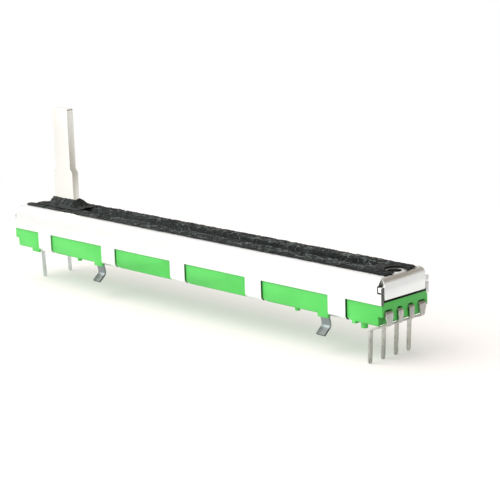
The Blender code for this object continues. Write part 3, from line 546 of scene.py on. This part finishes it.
# What fibres lie on: where its x counts from, the limits that they start in, where they may lie, its height
Bed = namedtuple("Bed", "origin x_span y_span inside surface")
FELT_BED = Bed(0.0, (FELT_LOW.x, FELT_HIGH.x), (FELT_LOW.y, FELT_HIGH.y), on_felt, felt_surface)
PALE_BED = FELT_BED._replace(x_span=(FELT_LOW.x, PALE_END))
LIP_BED = Bed(LEVER_MIDDLE, (-LIP_REACH, LIP_REACH), (-LIP_OUTER, LIP_OUTER), on_lips, lip_surface)
FIBRE_THICKNESS = 0.07
FIBRE_POINTS = 5


def fibre_points(chance, x, y, span, lift):
    """A fibre's course from x, y on, as places with their height over the surface."""
    heading = chance.gauss(0.0, 0.8)
    turn = chance.gauss(0.0, 0.5)
    stride = span * chance.uniform(0.5, 1.3) / (FIBRE_POINTS - 1)
    points = []
    for step in range(FIBRE_POINTS):
        bow = math.sin(math.pi * step / (FIBRE_POINTS - 1))
        points.append((x, y, lift * bow * chance.uniform(0.4, 1.0)))
        heading += turn
        x += math.cos(heading) * stride
        y += math.sin(heading) * stride
    return points


def lay_fibres(name, body, bed, finish, count, seed, span, lift, bunch=1.0):
    """Curved loose fibres on a felt surface. A bunch over 1 draws them towards the near end."""
    chance = random.Random(seed)
    x_low, x_high = bed.x_span
    curve = bpy.data.curves.new(name, "CURVE")
    curve.dimensions = "3D"
    curve.bevel_depth = FIBRE_THICKNESS / 2 * MM
    curve.bevel_resolution = 0
    curve.use_fill_caps = True
    for number in range(count):
        x = x_low + (x_high - x_low) * chance.random() ** (1 / bunch)
        y = chance.uniform(*bed.y_span)
        points = fibre_points(chance, x, y, span, lift)
        side = y > 0
        if not all(bed.inside(px, py) and (py > 0) == side for px, py, rise in points):
            continue
        spline = curve.splines.new("POLY")
        spline.points.add(FIBRE_POINTS - 1)
        for point, (px, py, rise) in zip(spline.points, points):
            point.co = ((px + bed.origin) * MM, py * MM, (bed.surface(px, py) + rise) * MM, 1.0)
    path = bpy.data.objects.new(name + "_path", curve)
    bpy.context.scene.collection.objects.link(path)
    depsgraph = bpy.context.evaluated_depsgraph_get()
    mesh = bpy.data.meshes.new_from_object(path.evaluated_get(depsgraph))
    mesh.name = name
    bpy.data.objects.remove(path)
    bpy.data.curves.remove(curve)
    made = bpy.data.objects.new(name, mesh)
    bpy.context.scene.collection.objects.link(made)
    coat(made, finish)
    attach(made, body)


# Studio

CAMERA_PLACE = Vector((164.386, -150.818, 54.771))
CAMERA_ANGLES = (77.046, 1.654, 45.295)          # degrees about X, Y and Z
CAMERA_LENS = 116.815                            # millimetres, on a sensor 36 mm wide
FLOOR_HEIGHT = -5.25                             # just under the leads' ends
FLOOR_RADIUS = 4000.0
PAST_NEAR_END = (0.8, 0.6, 0.0)                  # direction of the sky's dimmer side


def make_camera():
    """The photograph's viewpoint."""
    data = bpy.data.cameras.new("camera")
    data.lens = CAMERA_LENS
    data.sensor_width = 36.0
    data.clip_start = 0.01
    data.clip_end = 20.0
    camera = bpy.data.objects.new("camera", data)
    turn = Euler([math.radians(angle) for angle in CAMERA_ANGLES]).to_matrix().to_4x4()
    camera.matrix_world = Matrix.Translation(CAMERA_PLACE * MM) @ turn
    bpy.context.scene.collection.objects.link(camera)
    bpy.context.scene.camera = camera


def make_lamp(name, place, size, watts):
    """A white softbox that faces the part, with its place and size in metres."""
    data = bpy.data.lights.new(name, "AREA")
    data.shape = "RECTANGLE"
    data.size, data.size_y = size
    data.energy = watts
    lamp = bpy.data.objects.new(name, data)
    lamp.location = place
    lamp.rotation_euler = (-Vector(place)).to_track_quat("-Z", "Y").to_euler()
    bpy.context.scene.collection.objects.link(lamp)


def make_floor():
    """A pale floor that keeps the shadow.

    The camera and reflections see it paler than it lights the part, and partly white by itself.
    Reflections see it dimmer past the part's near end.
    """
    shape = bmesh.new()
    bmesh.ops.create_circle(shape, cap_ends=True, segments=96, radius=FLOOR_RADIUS * MM,
                            matrix=Matrix.Translation((0, 0, FLOOR_HEIGHT * MM)))
    finish = Finish("floor", Roughness=0.9, Specular_IOR_Level=0.0)
    cloud = finish.speckle(0.02, (1, 1, 1), 2.0)
    glossy = finish.ray("Glossy")
    seen = glossy.maths("MAXIMUM", finish.ray("Camera"), glossy)
    seen = seen.maths("MAXIMUM", seen, finish.ray("Transmission"))
    past = finish.along("X").between(38.0, 60.0) * glossy
    warm = finish.blend(cloud, (0.98, 0.9, 0.865), (0.995, 0.915, 0.88))
    pale = finish.blend(glossy, warm, (0.98, 0.98, 0.975))
    pale = finish.blend(past, pale, (0.64, 0.655, 0.67))
    finish.feed(Base_Color=finish.blend(seen, (0.52, 0.52, 0.51), pale))
    away = finish.add("ShaderNodeVectorMath", {"operation": "LENGTH"}, {0: finish.place}, 1)
    white_share = (away.between(55.0, 120.0) * 0.62 + 0.38) * (1 - past)
    matt = Wire(finish, finish.shader.outputs[0])
    finish.show("Material Output", seen * white_share, matt, "ShaderNodeEmission")
    floor = settle(shape, "floor")
    coat(floor, finish.material)


def make_world():
    """White, dimmer and warmer high past the part's near end, and white where the camera sees it."""
    world = bpy.data.worlds.new("studio")
    world.use_nodes = True
    bpy.context.scene.world = world
    sky = Nodes(world.node_tree)
    heading = sky.add("ShaderNodeTexCoord", {}, {}, "Generated")
    past = sky.add("ShaderNodeVectorMath", {"operation": "DOT_PRODUCT"}, {0: heading, 1: PAST_NEAR_END},
                   "Value")
    dimmer = past.between(-0.2, 0.55) * sky.part(heading, "Z").between(0.0, 0.42)
    tint = sky.blend(dimmer, (0.98, 0.98, 0.98), (0.33, 0.3, 0.255))
    plain = sky.tree.nodes["Background"]
    sky.tree.links.new(tint.socket, plain.inputs["Color"])
    sky.show("World Output", sky.ray("Camera"), Wire(sky, plain.outputs[0]), "ShaderNodeBackground")


bpy.context.scene.view_settings.view_transform = "Standard"
make_camera()
make_world()
make_floor()
make_lamp("key softbox", (-0.4, -0.62, 0.62), (1.0, 0.8), 7.0)
make_lamp("overhead softbox", (-0.1, -0.15, 0.9), (0.7, 0.7), 1.4)


# The part, dressed

# Painted shade goes on the plated sheet in the gaps at its edges and inside its fixing holes.
sheet = rolled_sheet("plated sheet", bright=(0.96, 0.955, 0.94), dull=(0.9, 0.895, 0.87), rough=0.34,
                     painted_shade=painted_gap_shade)
lever_sheet = rolled_sheet("lever steel", bright=(0.96, 0.945, 0.885), dull=(0.91, 0.895, 0.83), rough=0.36,
                           grain=(1, 1, 9))
tinned = rolled_sheet("tinned brass", bright=(0.62, 0.61, 0.56), dull=(0.46, 0.45, 0.41), rough=0.34,
                      grain=(1, 1, 6), mark=0.5, streak=0.5)
# The near and far leads are one tinned brass in a shaded and a lit copy: painted light makes the far leads'
# copy lighter and bluer.
far_tinned_painted_lit = rolled_sheet("bright tinned brass", bright=(0.74, 0.76, 0.75), dull=(0.62, 0.64, 0.63),
                          rough=0.34, grain=(1, 1, 6), mark=0.4)
# Blue-grey zinc plating, its colour also darkened as painted shade for the legs under the part; the feet get
# more painted shade.
zinc = rolled_sheet("zinc plating and painted shade", bright=(0.3, 0.33, 0.33), dull=(0.22, 0.25, 0.25), rough=0.42,
                    grain=(1, 1, 5), mark=0.4, painted_shade=shaded_foot, dark=(0.05, 0.05, 0.042))
green = moulded_green()
felt = felt_body()

eased("cover", "housing", 0.05, sheet)
eased("base", "housing", 0.05, green)
for name in NODES:
    if name.startswith("terminal"):
        eased(name, "housing", 0.04, far_tinned_painted_lit if "far" in name else tinned)
    elif name.startswith("mounting_leg"):
        eased(name, "housing", 0.05, zinc)
eased("lever", "slider", 0.04, lever_sheet)
make_felt(felt)
make_lips(felt)

dark_hair = felt_hair("dark fibre", (0.006, 0.008, 0.008), (0.03, 0.036, 0.035))
pale_hair = felt_hair("pale fibre", (0.07, 0.084, 0.081), (0.22, 0.245, 0.235))
lay_fibres("dark_fibres", "housing", FELT_BED, dark_hair, count=2600, seed=3, span=1.2, lift=0.05)
lay_fibres("pale_fibres", "housing", PALE_BED, pale_hair, count=1000, seed=8, span=1.0, lift=0.05, bunch=1.6)
lay_fibres("dark_lip_fibres", "slider", LIP_BED, dark_hair, count=160, seed=5, span=0.9, lift=0.06)
lay_fibres("pale_lip_fibres", "slider", LIP_BED, pale_hair, count=60, seed=6, span=0.9, lift=0.06)

spring_bronze = rolled_sheet("spring bronze", bright=(0.78, 0.56, 0.3), dull=(0.66, 0.45, 0.22), rough=0.3)
inner_finishes = {
    "resistor_board": laminate(),
    "carbon_track": printed_ink("carbon ink", (0.012, 0.012, 0.012), (0.04, 0.04, 0.04), 0.0, 0.5),
    "collector_track": printed_ink("silver ink", (0.5, 0.5, 0.5), (0.72, 0.72, 0.7), 1.0, 0.35),
    "carriage": moulded_black(),
    "wiper": spring_bronze,
    "slider_spring": spring_bronze,
}
for name, node in NODES.items():
    for start, finish in inner_finishes.items():
        if name.startswith(start):
            for slot in node.material_slots:
                slot.material = finish
